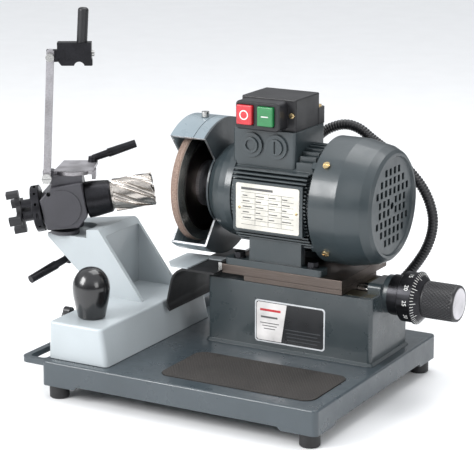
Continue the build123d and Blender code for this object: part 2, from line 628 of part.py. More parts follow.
def pedestal_casting():
    """Hollow sliding box with the leaning neck; the neck's right side is an open pocket."""
    p = PED
    z0 = BASE_TOP + 0.5
    middle_y = (p["y0"] + p["y1"]) / 2
    lower = RectangleRounded(p["x1"] - p["x0"], p["y1"] - p["y0"], 6)
    lower = Plane.XY.offset(z0) * Pos((p["x0"] + p["x1"]) / 2, middle_y) * lower
    upper = RectangleRounded(p["top_x1"] - p["top_x0"], p["y1"] - p["y0"] - 4, 5.5)
    upper = Plane.XY.offset(p["top"]) * Pos((p["top_x0"] + p["top_x1"]) / 2, middle_y) * upper
    body = loft([lower, upper])
    body = fillet(body.faces().sort_by(Axis.Z)[-1].edges(), 3)
    neck = prism_y([(-122, 88), (-122, 89.5), (-183, 171), (-256, 160), (-256, 154), (-175.5, 84), (-175.5, 80),
                    (-122, 80)], NECK_Y0, NECK_Y1)
    neck = fillet(neck.edges().filter_by(lambda e: e.center().Z > 164 and e.center().Y > NECK_Y1 - 1), 6)
    pocket = prism_y([(-100, 89.5), (-177, 89.5), (-177, 162), (-168, 162), (-100, 100)],
                     NECK_Y0 + 5.5, NECK_Y1 - 4.5)
    pocket = fillet(pocket.edges().filter_by(lambda e: e.center().Z > 161 and abs(e.center().Y) > 20), 3)
    body += neck - pocket
    body -= rod_z(SWIVEL_X, SWIVEL_Y, SEAT_Z - 0.4, 180, 38.5)
    body -= rod_z(SWIVEL_X, SWIVEL_Y, SEAT_Z - 15, 180, 8 + RUN)
    w = WAY
    body -= block(w["x"] - w["half"] - FIT, w["x"] + w["half"] + FIT, 0, 200, 0, w["top"] + FIT)
    body -= block(p["x0"] + 9, p["x1"] - 16, p["y0"] + 9, p["y1"] - 9, 0, p["top"] - 9)
    body += block(p["x0"] + 8, w["x"] - w["half"] - FIT, p["y0"] + 8, p["y1"] - 8, z0, w["top"])
    body += block(w["x"] + w["half"] + FIT, p["x1"] - 8, p["y0"] + 8, p["y1"] - 8, z0, w["top"])
    body -= rod_x(p["x0"] - 2, p["x0"] + 20, STUD_R + RUN, y=LOCK_Y, z=LOCK_Z)
    reach = LEVER_N * 9
    hole = bar_between(tuple(LEVER_ROOT - reach), tuple(LEVER_ROOT + reach), STUD_R + RUN, STUD_R + RUN)
    return body - hole


KNOB_X, KNOB_Y = -141.0, -107.0


def ball_knob():
    """Large black push handle standing on the front of the pedestal."""
    z = PED["top"]
    outline = [(0, z), (14.5, z), (16.2, z + 1.8)]
    skirt = Polyline(*[(r, 0, h) for r, h in outline])
    side = Spline((16.2, 0, z + 1.8), (20.0, 0, z + 20), (21.9, 0, z + 35),
                  tangents=[(0.15, 0, 1), (0.03, 0, 1)])
    dome = Spline((21.9, 0, z + 35), (17.6, 0, z + 50), (0, 0, z + 60), tangents=[(0.0, 0, 1), (-1, 0, 0)])
    close = Line((0, 0, z + 60), (0, 0, z))
    face = make_face(skirt.edges() + [side.edge(), dome.edge(), close.edge()])
    return Pos(KNOB_X, KNOB_Y, 0) * revolve(face, Axis.Z)


LOCK_Y, LOCK_Z = -92.0, 79.0


def slide_lock_knob():
    """Small three-lobed knob on the pedestal's left side."""
    x1 = PED["x0"] - 1.5
    knob = rod_x(x1 - 12, x1, 7.5, y=LOCK_Y, z=LOCK_Z) + rod_x(x1 - 1, x1 + 16, STUD_R, y=LOCK_Y, z=LOCK_Z)
    for k in range(3):
        a = radians(90 + 120 * k)
        knob += rod_x(x1 - 11, x1 - 2, 5.5, y=LOCK_Y + 7 * cos(a), z=LOCK_Z + 7 * sin(a))
    return knob


LEVER_N = Vector(-0.6585, 0, -0.7526)
LEVER_ROOT = Vector(-231.9, -8.0, 132.9)


def lever(root, axis, tip, hub_r=7.0, hub_len=15.0, gap=0.4, stud=8.0):
    """Clamping lever: a short hub on its stud and a tapering arm with a stepped grip."""
    axis = axis.normalized()
    foot = root + axis * gap
    hub_end = root + axis * (gap + hub_len)
    hub = bar_between(tuple(foot), tuple(hub_end), hub_r, hub_r - 0.8)
    start = root + axis * (gap + hub_len * 0.62)
    run = tip - start
    mid = start + run * 0.36
    neck = bar_between(tuple(start), tuple(mid), 4.2, 4.6)
    grip = bar_between(tuple(mid), tuple(tip), 5.6, 4.9)
    pin = bar_between(tuple(root - axis * stud), tuple(root + axis * (gap + 2)), STUD_R, STUD_R)
    return hub + neck + grip + pin


def neck_lever():
    """Clamping lever on the neck's underside; it locks the swivel pin."""
    return lever(LEVER_ROOT, LEVER_N, Vector(-256, -66, 108.5))


# ---------------------------------------------------------------- work head

PLATE_Z0, PLATE_Z1 = 232.8, 237.2
CHEEK_E2 = (25.4, 31.5)
LEVER_E = (32.0, 44.0)


def swivel_bracket():
    """Turntable on the neck with the cheek that carries the index head's tilting pin."""
    disc = Pos(0, 0, (SEAT_Z + 163.4) / 2) * Cylinder(17.5, 163.4 - SEAT_Z)
    pin = Pos(0, 0, SEAT_Z - 6) * Cylinder(8, 13)
    tie = block(-12, 12, 0, CHEEK_E2[1], SEAT_Z, 163.4)
    cheek = block(-19, 21, *CHEEK_E2, SEAT_Z, HEAD_Z + 18)
    cheek = fillet(cheek.edges().filter_by(Axis.Y), 4)
    bore = rod_y(0, 20, 40, HEAD_Z, 7 + RUN)
    return SWIVEL * (disc + pin + tie + cheek - bore)


def protractor_plate():
    """Plate on the saddle with a rounded nose, where the angle scale is, and a drop tab at its right end."""
    thick = PLATE_Z1 - PLATE_Z0
    outline = [(-12, -9), (-4, 52), (38, 52), (34, -9)]
    plate = extrude(make_face(Polyline(*[(x, y, PLATE_Z0) for x, y in outline], close=True)), amount=thick)
    nose = Pos(11, 4, PLATE_Z0 + thick / 2) * Cylinder(22.8, thick)
    plate += nose & block(-12, 34, -25, 0, PLATE_Z0, PLATE_Z1)
    plate -= rod_z(*LEVER_E, PLATE_Z0 - 1, PLATE_Z1 + 1, STUD_R + RUN)
    tab = block(33, 37.6, 4, 24, 224, PLATE_Z0 + 1)
    return SWIVEL * (plate + tab)


def head_saddle():
    """Block between the index head and the protractor plate, with the setting arm's pivot ear at its left."""
    body = block(-14, 23, -19, 22, 215, PLATE_Z0)
    body = chamfer(body.edges().filter_by(Axis.Y).sort_by(Axis.Z)[:2], 1.0)
    cut = HEAD * Pos(0, 0, 0) * Box(120, 60, 2 * HEAD_HALF)
    ear = block(-24, -12, -19, -3, 224, PLATE_Z1 + 2)
    local = SWIVEL * (body + ear)
    return local - cut - SWIVEL * rod_y(-18.5, -30, 30, ARM_PIVOT_Z, 2.5)


HEAD_HALF = 27.0
HEAD_OUTLINE = [(-25.6, -14), (-26.3, 14), (-10, 27), (27, 27), (27, -15), (14, -26.9), (-23.6, -23.6)]


def index_head():
    """Housing of the index spindle."""
    face = make_face(Polyline(*[(a, -25, u) for a, u in HEAD_OUTLINE], close=True))
    body = extrude(face, amount=50, dir=(0, 1, 0))
    body = fillet(body.edges().filter_by(Axis.Y), 2.5)
    body = chamfer(body.faces().sort_by(Axis.Y)[0].edges(), 1.0)
    boss = Pos(-1, -25.4, 0) * Rot(90, 0, 0) * Cylinder(22.5, 1.2)
    body += boss
    body -= Pos(0, 0, 0) * Rot(0, 90, 0) * Cylinder(13 + RUN, 80)
    body -= Pos(-14, -24, 20) * Rot(90, 0, 0) * Cylinder(2.6, 12)
    body += Pos(0, 28, 0) * Rot(90, 0, 0) * Cylinder(7, 7)
    return HEAD * body


def index_spindle():
    """Index spindle with the split hub behind the index plate."""
    body = head_turned([(-58, 0), (-58, 9), (-52, 9), (-51, 13.4), (-38, 13.4), (-38, 13.0), (34, 13.0),
                        (34, 0)])
    slot = HEAD * Pos(-46, 0, 4.5) * Box(9, 40, 4.2)
    return body - slot


def index_plate():
    """Round index plate with its ring of index holes."""
    plate = head_turned([(-37.6, 13.0), (-37.6, 27.3), (-36.6, 28.3), (-27.6, 28.3), (-26.8, 27.5),
                         (-26.8, 13.0)])
    for k in range(12):
        a = radians(30 * k + 8)
        plate -= HEAD * Pos(-32, 28 * cos(a), 28 * sin(a)) * Rot(-degrees(a), 0, 0) * Cylinder(1.6, 8)
    return plate


def star_knob():
    """Four-armed hand knob whose fingers point away from the head."""
    knob = Pos(-55, 0, 0) * Rot(0, 90, 0) * Cylinder(12, 6)
    for k in range(4):
        finger = block(-67, -52, 20, 27.5, -5.2, 5.2)
        finger = fillet(finger.edges().filter_by(Axis.X), 2.0)
        arm = block(-58, -52, 0, 22, -4, 4) + finger
        knob += Rot(k * 90 + 104, 0, 0) * arm
    return HEAD * (knob - Rot(0, 90, 0) * Cylinder(9, 140))


def cutter_collar():
    """Black clamping collar on the spindle's nose."""
    return head_turned([(27.6, 13.0), (27.6, 21.6), (28.6, 22.2), (36, 22.0), (56, 19.6), (58, 18.2), (58, 9.6),
                        (34, 9.6), (34, 13.0)])


CUTTER_LENGTH, CUTTER_R = 48.0, 20.0


def annular_cutter():
    """Fluted annular cutter with its shank in the collar."""
    flutes = 7
    section = Circle(CUTTER_R)
    for k in range(flutes):
        a = 2 * pi * k / flutes
        section -= Pos((CUTTER_R + 1.5) * cos(a), (CUTTER_R + 1.5) * sin(a)) * Rot(0, 0, degrees(a)) * \
            Ellipse(5.0, 5.6)
    body = Solid.extrude_linear_with_rotation(section.face(), (0, 0, 0), (0, 0, CUTTER_LENGTH), 75)
    body = Part(body.wrapped) if not isinstance(body, Part) else body
    body -= Pos(0, 0, CUTTER_LENGTH / 2 + 8) * Cylinder(13.5, CUTTER_LENGTH)
    for k in range(flutes):
        notch = Pos(CUTTER_R - 2.5, 0, CUTTER_LENGTH + 1.2) * Rot(22, 0, 0) * Box(12, 9, 5)
        body -= Rot(0, 0, 360 / flutes * (k + 0.5) + 75) * notch
    body += Pos(0, 0, -1) * Cylinder(16.5, 4)
    body += Pos(0, 0, -13) * Cylinder(9.6, 22)
    return HEAD * Pos(61.5, 0, 0) * Rot(0, 90, 0) * body


ARM_PIVOT_E1, ARM_PIVOT_Z = -18.5, 232.0
ARM_TOP = (-11.0, 382.0)
ARM_E2 = (-26.5, -19.5)


def arm_frame():
    """Location of the setting arm's pivot, local z along the arm."""
    lean = degrees(atan2(ARM_TOP[0] - ARM_PIVOT_E1, ARM_TOP[1] - ARM_PIVOT_Z))
    return SWIVEL * Location((ARM_PIVOT_E1, 0, ARM_PIVOT_Z), (0, lean, 0))


def setting_arm():
    """Flat steel arm with rounded ends."""
    length = ARM_TOP[1] - ARM_PIVOT_Z
    half = 4.4
    bar = block(-half, half, ARM_E2[0], ARM_E2[1], -half, length + 5)
    bar = fillet(bar.edges().filter_by(Axis.Y), 3.5)
    bar -= Pos(0, 0, 0) * Rot(90, 0, 0) * Cylinder(2.5 + RUN, 80)
    bar -= Pos(0, 0, length - 4) * Rot(90, 0, 0) * Cylinder(2.5 + RUN, 80)
    return arm_frame() * bar


def arm_pivot_screw():
    """Shoulder screw on which the setting arm turns."""
    shape = rod_y(0, -31, -26.8, 0, 6.0) + rod_y(0, -27, -4, 0, 2.5)
    shape -= block(-7, 7, -32, -30, -0.6, 0.6)
    return SWIVEL * Pos(ARM_PIVOT_E1, 0, ARM_PIVOT_Z) * shape




def gauge_block():
    """Setting block with a bevelled underside, a half-round rest and the ear of its hinge."""
    body = prism_y([(-3.4, 375), (-3.4, 393.5), (36.8, 393.5), (36.8, 375), (37.4, 371), (37.4, 365.5), (1.0, 365.5),
                    (-3.4, 371)], -19.2, -4)
    body -= prism_y([(-20, 360), (60, 360), (60, 374.6), (-20, 374.6)], -30, -14.2) & (
        Pos(0, -19.2, 374.6) * Rot(-38, 0, 0) * Box(200, 20, 20))
    body -= rod_y(22, -40, 10, 364.0, 6.4)
    ear = block(-16, -3.0, -19.2, -10, 371, 385)
    body += ear
    top = arm_top_point()
    body -= rod_y(top[0], -40, 0, top[1], 2.5)
    return SWIVEL * body - gauge_handle()


def arm_top_point():
    """Pivot of the gauge block in the (e1, z) plane."""
    run = sqrt((ARM_TOP[0] - ARM_PIVOT_E1) ** 2 + (ARM_TOP[1] - ARM_PIVOT_Z) ** 2)
    share = (ARM_TOP[1] - ARM_PIVOT_Z - 4) / run
    e1 = ARM_PIVOT_E1 + (ARM_TOP[0] - ARM_PIVOT_E1) * share
    return e1, ARM_PIVOT_Z + (ARM_TOP[1] - ARM_PIVOT_Z) * share


def gauge_pivot_screw():
    """Hinge screw of the gauge block and the silver stop screw in its end."""
    x, z = arm_top_point()
    hinge = rod_y(x, -31, -26.8, z, 5.0) + rod_y(x, -27, -10, z, 2.5)
    stop = SWIVEL * (Pos(38.4, -11, 380) * Rot(0, 90, 0) * Cylinder(3.6, 3.2))
    return Compound([SWIVEL * hinge, stop])


def gauge_handle():
    """Black rod handle standing in the gauge block."""
    shape = Pos(0, 0, 21) * Cylinder(6.3, 42)
    shape = fillet(shape.faces().sort_by(Axis.Z)[-1].edges(), 3.5)
    return SWIVEL * Location((25.5, -11.5, 392.6), (0, 3.5, 0)) * shape


def bracket_lever():
    """Clamping lever at the rear corner of the protractor plate."""
    yaw = radians(HEAD_YAW)
    e1, e2 = Vector(cos(yaw), sin(yaw), 0), Vector(-sin(yaw), cos(yaw), 0)
    centre = Vector(SWIVEL_X, SWIVEL_Y, 0)
    root = centre + e1 * LEVER_E[0] + e2 * LEVER_E[1] + Vector(0, 0, PLATE_Z1)
    tip = centre + e1 * 85 + e2 * 46 + Vector(0, 0, 259.5)
    return lever(root, Vector(0, 0, 1), tip, hub_r=6.0, hub_len=6.0, stud=5.5)


# ---------------------------------------------------------------- build

NODES = {
    "base_casting": base_casting, "rubber_feet": rubber_feet, "tool_mat": tool_mat,
    "riser_casting": riser_casting, "feed_bracket": feed_bracket, "bearing_flange": bearing_flange,
    "lead_screw": lead_screw, "feed_dial": feed_dial, "feed_knob": feed_knob, "knob_cap": knob_cap,
    "slide_plate": slide_plate, "lead_nut": lead_nut, "table_plate": table_plate, "flap_clamp": flap_clamp,
    "dust_flap": dust_flap, "spark_tray": spark_tray,
    "motor_housing": motor_housing, "motor_foot_bolts": motor_foot_bolts,
    "front_end_shield": front_end_shield, "rear_end_shield": rear_end_shield,
    "motor_bearings": motor_bearings, "stator": stator, "motor_shaft": motor_shaft, "rotor_core": rotor_core,
    "cooling_fan": cooling_fan, "fan_cover": fan_cover, "fan_cover_screws": fan_cover_screws,
    "terminal_box": terminal_box, "box_plugs": box_plugs, "switch_box": switch_box,
    "switch_screws": switch_screws, "conduit": conduit, "conduit_gland": conduit_gland,
    "grinding_wheel": grinding_wheel, "wheel_flanges": wheel_flanges, "wheel_nut": wheel_nut,
    "guard_band": guard_band, "guard_backplate": guard_backplate, "guard_screw": guard_screw,
    "pedestal_casting": pedestal_casting, "ball_knob": ball_knob, "slide_lock_knob": slide_lock_knob,
    "neck_lever": neck_lever,
    "swivel_bracket": swivel_bracket, "protractor_plate": protractor_plate, "head_saddle": head_saddle,
    "index_head": index_head, "index_spindle": index_spindle, "index_plate": index_plate, "star_knob": star_knob,
    "cutter_collar": cutter_collar, "annular_cutter": annular_cutter,
    "setting_arm": setting_arm, "arm_pivot_screw": arm_pivot_screw,
    "gauge_block": gauge_block, "gauge_pivot_screw": gauge_pivot_screw, "gauge_handle": gauge_handle,
    "bracket_lever": bracket_lever,
}

os.makedirs("parts", exist_ok=True)
for node, make in NODES.items():
    export(node, make())
for node in BUTTONS:
    export(node, button(node))
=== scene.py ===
"""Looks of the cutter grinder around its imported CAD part: materials, surface details, light and camera.

Small shapes are given in millimetres that count from the middle of the base plate, and mesh_object brings
them into the frame's metres.
"""

import json
from math import cos, pi, radians, sin, sqrt

import bpy
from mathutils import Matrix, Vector


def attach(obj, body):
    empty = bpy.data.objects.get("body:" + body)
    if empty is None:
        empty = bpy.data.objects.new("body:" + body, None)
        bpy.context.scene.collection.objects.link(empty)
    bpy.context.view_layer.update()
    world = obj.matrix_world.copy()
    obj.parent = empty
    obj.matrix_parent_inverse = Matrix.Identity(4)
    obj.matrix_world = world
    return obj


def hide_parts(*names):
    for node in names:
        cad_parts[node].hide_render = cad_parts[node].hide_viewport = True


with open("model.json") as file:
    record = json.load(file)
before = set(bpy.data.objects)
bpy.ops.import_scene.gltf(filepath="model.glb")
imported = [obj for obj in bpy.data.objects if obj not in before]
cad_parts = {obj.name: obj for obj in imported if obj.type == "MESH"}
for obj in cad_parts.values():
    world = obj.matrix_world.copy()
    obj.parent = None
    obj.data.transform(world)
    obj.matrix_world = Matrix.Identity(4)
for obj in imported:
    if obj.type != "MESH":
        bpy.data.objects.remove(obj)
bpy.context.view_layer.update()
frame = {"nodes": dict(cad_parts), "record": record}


MM = 0.001
SHIFT_X = 28.58                               # middle of the base plate, in the frame's X
MOTOR_Y, MOTOR_Z, SCREW_Z = 51.5, 225.0, 121.0
SWIVEL_X, SWIVEL_Y, HEAD_YAW = -237.0, -18.0, radians(30)
WHEEL_REACH = 0.080                           # radius in metres that the grinding wheel's shading counts as 1
BOX_FACES = ((0, 3, 2, 1), (4, 5, 6, 7), (0, 1, 5, 4), (1, 2, 6, 5), (2, 3, 7, 6), (3, 0, 4, 7))

# ---------------------------------------------------------------- materials


def new_material(name, rough, metal=0.0, coat=0.0):
    """Empty node material with its uniform values set on the shader."""
    mat = bpy.data.materials.new(name)
    mat.use_nodes = True
    shader = mat.node_tree.nodes["Principled BSDF"]
    shader.inputs["Roughness"].default_value = rough
    shader.inputs["Metallic"].default_value = metal
    shader.inputs["Coat Weight"].default_value = coat
    shader.inputs["Coat Roughness"].default_value = 0.12
    return mat, mat.node_tree, shader


def coordinates(tree, stretch=(1, 1, 1)):
    """Object coordinates, scaled differently along the three axes."""
    source = tree.nodes.new("ShaderNodeTexCoord")
    mapping = tree.nodes.new("ShaderNodeMapping")
    mapping.inputs["Scale"].default_value = stretch
    tree.links.new(source.outputs["Object"], mapping.inputs["Vector"])
    return mapping.outputs["Vector"]


def noise(tree, vector, scale, detail=3.0):
    """Noise value between 0 and 1."""
    node = tree.nodes.new("ShaderNodeTexNoise")
    node.inputs["Scale"].default_value = scale
    node.inputs["Detail"].default_value = detail
    tree.links.new(vector, node.inputs["Vector"])
    return node.outputs["Fac"]


def ramp(tree, value, stops):
    """Colour ramp over a value; each stop is (position, colour)."""
    node = tree.nodes.new("ShaderNodeValToRGB")
    element = node.color_ramp.elements
    element[0].position, element[0].color = stops[0][0], (*stops[0][1], 1)
    element[1].position, element[1].color = stops[-1][0], (*stops[-1][1], 1)
    for position, colour in stops[1:-1]:
        extra = element.new(position)
        extra.color = (*colour, 1)
    tree.links.new(value, node.inputs["Fac"])
    return node.outputs["Color"]


def spread(tree, value, low, high):
    """Value mapped onto a narrow range."""
    node = tree.nodes.new("ShaderNodeMapRange")
    node.inputs["From Min"].default_value = 0.3
    node.inputs["From Max"].default_value = 0.7
    node.inputs["To Min"].default_value = low
    node.inputs["To Max"].default_value = high
    tree.links.new(value, node.inputs["Value"])
    return node.outputs["Result"]


def bump(tree, shader, value, strength, distance, edge=0.0004):
    """Fine relief on the shader's normal, over edges that are softened by a small radius."""
    node = tree.nodes.new("ShaderNodeBump")
    node.inputs["Strength"].default_value = strength
    node.inputs["Distance"].default_value = distance
    soft_edge = tree.nodes.new("ShaderNodeBevel")
    soft_edge.samples = 4
    soft_edge.inputs["Radius"].default_value = edge
    tree.links.new(soft_edge.outputs["Normal"], node.inputs["Normal"])
    tree.links.new(value, node.inputs["Height"])
    tree.links.new(node.outputs["Normal"], shader.inputs["Normal"])


def shade(colour, factor):
    """Colour made darker or lighter."""
    return tuple(min(1.0, c * factor) for c in colour)


def paint(name, colour, rough=0.32, coat=0.25, grain=260.0, relief=0.00025, variation=0.10, edge=0.0009):
    """Sprayed machine enamel on a casting: faint cloudiness, orange peel and a little dust in the gloss."""
    mat, tree, shader = new_material(name, rough, coat=coat)
    vector = coordinates(tree)
    cloud = noise(tree, vector, 14.0, 4.0)
    stops = [(0.35, shade(colour, 1 - variation)), (0.65, shade(colour, 1 + variation))]
    tree.links.new(ramp(tree, cloud, stops), shader.inputs["Base Color"])
    dust = noise(tree, vector, 55.0, 5.0)
    tree.links.new(spread(tree, dust, rough - 0.06, rough + 0.12), shader.inputs["Roughness"])
    bump(tree, shader, noise(tree, vector, grain, 2.0), 0.35, relief, edge)
    return mat


def metal(name, colour, rough=0.3, stretch=(30, 900, 900), variation=0.16, relief=0.00008):
    """Machined metal with fine tool marks drawn out along one axis."""
    mat, tree, shader = new_material(name, rough, metal=1.0)
    marks = noise(tree, coordinates(tree, stretch), 1.0, 3.0)
    blotch = noise(tree, coordinates(tree), 45.0, 4.0)
    stops = [(0.3, shade(colour, 1 - variation)), (0.7, shade(colour, 1 + variation))]
    mix = tree.nodes.new("ShaderNodeMix")
    mix.data_type = "RGBA"
    mix.blend_type = "MULTIPLY"
    mix.inputs[0].default_value = 0.7
    tree.links.new(ramp(tree, marks, stops), mix.inputs["A"])
    tree.links.new(ramp(tree, blotch, [(0.3, (0.72, 0.70, 0.68)), (0.6, (1, 1, 1))]), mix.inputs["B"])
    tree.links.new(mix.outputs["Result"], shader.inputs["Base Color"])
    tree.links.new(spread(tree, blotch, rough - 0.08, rough + 0.14), shader.inputs["Roughness"])
    bump(tree, shader, marks, 0.5, relief)
    return mat


def plastic(name, colour, rough=0.35, grain=700.0, relief=0.0001, coat=0.0):
    """Moulded plastic or rubber with a fine grain and faint handling marks."""
    mat, tree, shader = new_material(name, rough, coat=coat)
    vector = coordinates(tree)
    wear = noise(tree, vector, 38.0, 5.0)
    tree.links.new(ramp(tree, wear, [(0.35, shade(colour, 0.85)), (0.7, shade(colour, 1.25))]),
                   shader.inputs["Base Color"])
    tree.links.new(spread(tree, wear, rough - 0.05, rough + 0.12), shader.inputs["Roughness"])
    bump(tree, shader, noise(tree, vector, grain, 2.0), 0.4, relief)
    return mat


def mix_colour(tree, factor, first, second):
    """First colour where the factor is 0, second where it is 1."""
    mix = tree.nodes.new("ShaderNodeMix")
    mix.data_type = "RGBA"
    tree.links.new(factor, mix.inputs[0])
    tree.links.new(first, mix.inputs["A"])
    tree.links.new(second, mix.inputs["B"])
    return mix.outputs["Result"]


def dish_wheel(name):
    """Grinding wheel: brown bonded grit outside, a painted highlight ring on the bevel and painted shade over
    the turned dish inside.
    """
    mat, tree, shader = new_material(name, 0.6)
    vector = coordinates(tree)
    centred = tree.nodes.new("ShaderNodeVectorMath")
    centred.operation = "SUBTRACT"
    centred.inputs[1].default_value = (0, MOTOR_Y * MM, MOTOR_Z * MM)
    tree.links.new(vector, centred.inputs[0])
    flat = tree.nodes.new("ShaderNodeVectorMath")
    flat.operation = "MULTIPLY"
    flat.inputs[1].default_value = (0, 1, 1)
    tree.links.new(centred.outputs["Vector"], flat.inputs[0])
    length = tree.nodes.new("ShaderNodeVectorMath")
    length.operation = "LENGTH"
    tree.links.new(flat.outputs["Vector"], length.inputs[0])
    radius = tree.nodes.new("ShaderNodeMapRange")
    radius.inputs["From Max"].default_value = WHEEL_REACH
    tree.links.new(length.outputs["Value"], radius.inputs["Value"])
    share = radius.outputs["Result"]
    grit = noise(tree, vector, 1100.0, 4.0)
    grit_colour = ramp(tree, grit, [(0.3, (0.13, 0.085, 0.065)), (0.5, (0.25, 0.175, 0.14)),
                                    (0.7, (0.40, 0.31, 0.26))])
    rings = noise(tree, coordinates(tree, (3, 3, 3)), 9.0, 2.0)
    # Colour by radius: a dark painted shade over the dish, then a bright painted highlight ring over the
    # bevel.
    painted_highlight_and_shade = ramp(tree, share, [(0.15, (0.16, 0.13, 0.105)), (0.62, (0.085, 0.068, 0.055)),
                                      (0.70, (0.17, 0.145, 0.12)), (0.72, (0.46, 0.43, 0.39)),
                                      (0.85, (0.66, 0.63, 0.58))])
    stain = ramp(tree, rings, [(0.35, (0.07, 0.055, 0.045)), (0.65, (0.34, 0.30, 0.26))])
    blend = tree.nodes.new("ShaderNodeMix")
    blend.data_type = "RGBA"
    blend.inputs[0].default_value = 0.25
    tree.links.new(painted_highlight_and_shade, blend.inputs["A"])
    tree.links.new(stain, blend.inputs["B"])
    is_grit = ramp(tree, share, [(0.855, (0, 0, 0)), (0.862, (1, 1, 1))])
    surface = mix_colour(tree, is_grit, blend.outputs["Result"], grit_colour)
    tree.links.new(surface, shader.inputs["Base Color"])
    tree.links.new(ramp(tree, share, [(0.855, (1, 1, 1)), (0.862, (0, 0, 0))]), shader.inputs["Metallic"])
    tree.links.new(ramp(tree, share, [(0.3, (0.38,) * 3), (0.85, (0.24,) * 3), (0.862, (0.9,) * 3)]),
                   shader.inputs["Roughness"])
    bump(tree, shader, grit, 0.35, 0.0003)
    return mat


MATERIALS = {
    "base_paint": paint("base_paint", (0.044, 0.058, 0.068), 0.30, 0.3),
    "riser_paint": paint("riser_paint", (0.031, 0.042, 0.047), 0.30, 0.3),
    "motor_paint": paint("motor_paint", (0.030, 0.041, 0.046), 0.34, 0.25),
    "light_paint": paint("light_paint", (0.42, 0.46, 0.48), 0.34, 0.2, variation=0.04),
    "guard_dark": paint("guard_dark", (0.032, 0.042, 0.048), 0.34, 0.2),
    "guard_light": paint("guard_light", (0.21, 0.26, 0.29), 0.28, 0.3, variation=0.06),
    "head_paint": paint("head_paint", (0.046, 0.045, 0.053), 0.42, 0.1, grain=420.0, variation=0.16),
    "rubber_black": plastic("rubber_black", (0.012, 0.012, 0.013), 0.5),
    "mat_rubber": plastic("mat_rubber", (0.030, 0.027, 0.025), 0.7),
    "steel": metal("steel", (0.52, 0.52, 0.51), 0.26),
    "steel_dark": metal("steel_dark", (0.150, 0.125, 0.112), 0.42),
    "steel_grey": metal("steel_grey", (0.42, 0.41, 0.43), 0.45),
    "steel_black": metal("steel_black", (0.036, 0.036, 0.040), 0.32),
    "tool_steel": metal("tool_steel", (0.58, 0.54, 0.50), 0.20),
    "bronze": metal("bronze", (0.50, 0.34, 0.16), 0.32),
    "brass": metal("brass", (0.72, 0.55, 0.30), 0.26),
    "plastic_black": plastic("plastic_black", (0.009, 0.009, 0.010), 0.16, coat=0.5, relief=0.00003),
    "plastic_matte": plastic("plastic_matte", (0.012, 0.012, 0.014), 0.38),
    "plastic_white": plastic("plastic_white", (0.62, 0.60, 0.63), 0.32, relief=0.00004),
    "button_red": plastic("button_red", (0.50, 0.015, 0.025), 0.25, relief=0.00003, coat=0.4),
    "button_green": plastic("button_green", (0.012, 0.20, 0.055), 0.25, relief=0.00003, coat=0.4),
    "conduit_grey": plastic("conduit_grey", (0.012, 0.012, 0.014), 0.30),
    "abrasive": dish_wheel("abrasive"),
    "laminations": metal("laminations", (0.26, 0.22, 0.18), 0.45, stretch=(1800, 10, 10)),
}
BRIGHT_EDGE = metal("bright_edge", (0.62, 0.64, 0.66), 0.3)
PLATE_CREAM = plastic("plate_cream", (0.66, 0.64, 0.58), 0.34, relief=0.00002)
SILVER_FILM = plastic("silver_film", (0.60, 0.62, 0.64), 0.26, relief=0.00002)
INK_BLACK = plastic("ink_black", (0.014, 0.015, 0.017), 0.26, relief=0.00002)
INK_GREY = plastic("ink_grey", (0.10, 0.10, 0.10), 0.4, relief=0.00002)
INK_FAINT = plastic("ink_faint", (0.05, 0.055, 0.06), 0.4, relief=0.00002)
LABEL_WHITE = plastic("label_white", (0.72, 0.70, 0.69), 0.3, relief=0.00002)
MARKING_WHITE = plastic("marking_white", (0.74, 0.74, 0.72), 0.4, relief=0.00002)
OILED_WAY = metal("oiled_way", (0.17, 0.155, 0.10), 0.34, stretch=(30, 900, 900), variation=0.3)

for entry in frame["record"]["subparts"]:
    node = frame["nodes"][entry["node"]]
    mat = MATERIALS[entry["material_slot"]]
    if node.material_slots:
        for slot in node.material_slots:
            slot.material = mat
    else:
        node.data.materials.append(mat)

# ---------------------------------------------------------------- small shapes


def mesh_object(name, vertices, faces, mat, body):
    """Mesh from points in millimetres that count from the middle of the base, riding on a CAD body."""
    mesh = bpy.data.meshes.new(name)
    mesh.from_pydata([((x + SHIFT_X) * MM, y * MM, z * MM) for x, y, z in vertices], [], faces)
    mesh.validate()
    obj = bpy.data.objects.new(name, mesh)
    bpy.context.scene.collection.objects.link(obj)
    mesh.materials.append(mat)
    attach(obj, body)
    return obj


def join_boxes(name, boxes, mat, body):
    """One mesh of several boxes, each (x0, x1, y0, y1, z0, z1)."""
    vertices, faces = [], []
    for x0, x1, y0, y1, z0, z1 in boxes:
        n = len(vertices)
        vertices += [(x0, y0, z0), (x1, y0, z0), (x1, y1, z0), (x0, y1, z0),
                     (x0, y0, z1), (x1, y0, z1), (x1, y1, z1), (x0, y1, z1)]
        faces += [tuple(n + i for i in face) for face in BOX_FACES]
    return mesh_object(name, vertices, faces, mat, body)


def upright_plate(name, outline, y0, y1, mat, body):
    """Plate that faces -Y, from the (x, z) points of its outline."""
    n = len(outline)
    vertices = [(x, y0, z) for x, z in outline] + [(x, y1, z) for x, z in outline]
    faces = [tuple(range(n)), tuple(range(2 * n - 1, n - 1, -1))]
    faces += [(i, i + n, (i + 1) % n + n, (i + 1) % n) for i in range(n)]
    return mesh_object(name, vertices, faces, mat, body)


def rounded_plate(name, x0, x1, z0, z1, y0, y1, radius, mat, body):
    """Upright plate with rounded corners."""
    outline = []
    for cx, cz, start in ((x1 - radius, z1 - radius, 0), (x0 + radius, z1 - radius, 90),
                          (x0 + radius, z0 + radius, 180), (x1 - radius, z0 + radius, 270)):
        for k in range(7):
            a = radians(start + 15 * k)
            outline.append((cx + radius * cos(a), cz + radius * sin(a)))
    return upright_plate(name, outline, y0, y1, mat, body)


def evaluated_mesh(obj):
    """Mesh of a text or curve object as it is drawn; the object and its curve are removed."""
    bpy.context.scene.collection.objects.link(obj)
    bpy.context.view_layer.update()
    mesh = bpy.data.meshes.new_from_object(obj.evaluated_get(bpy.context.evaluated_depsgraph_get()))
    curve = obj.data
    bpy.data.objects.remove(obj)
    bpy.data.curves.remove(curve)
    return mesh


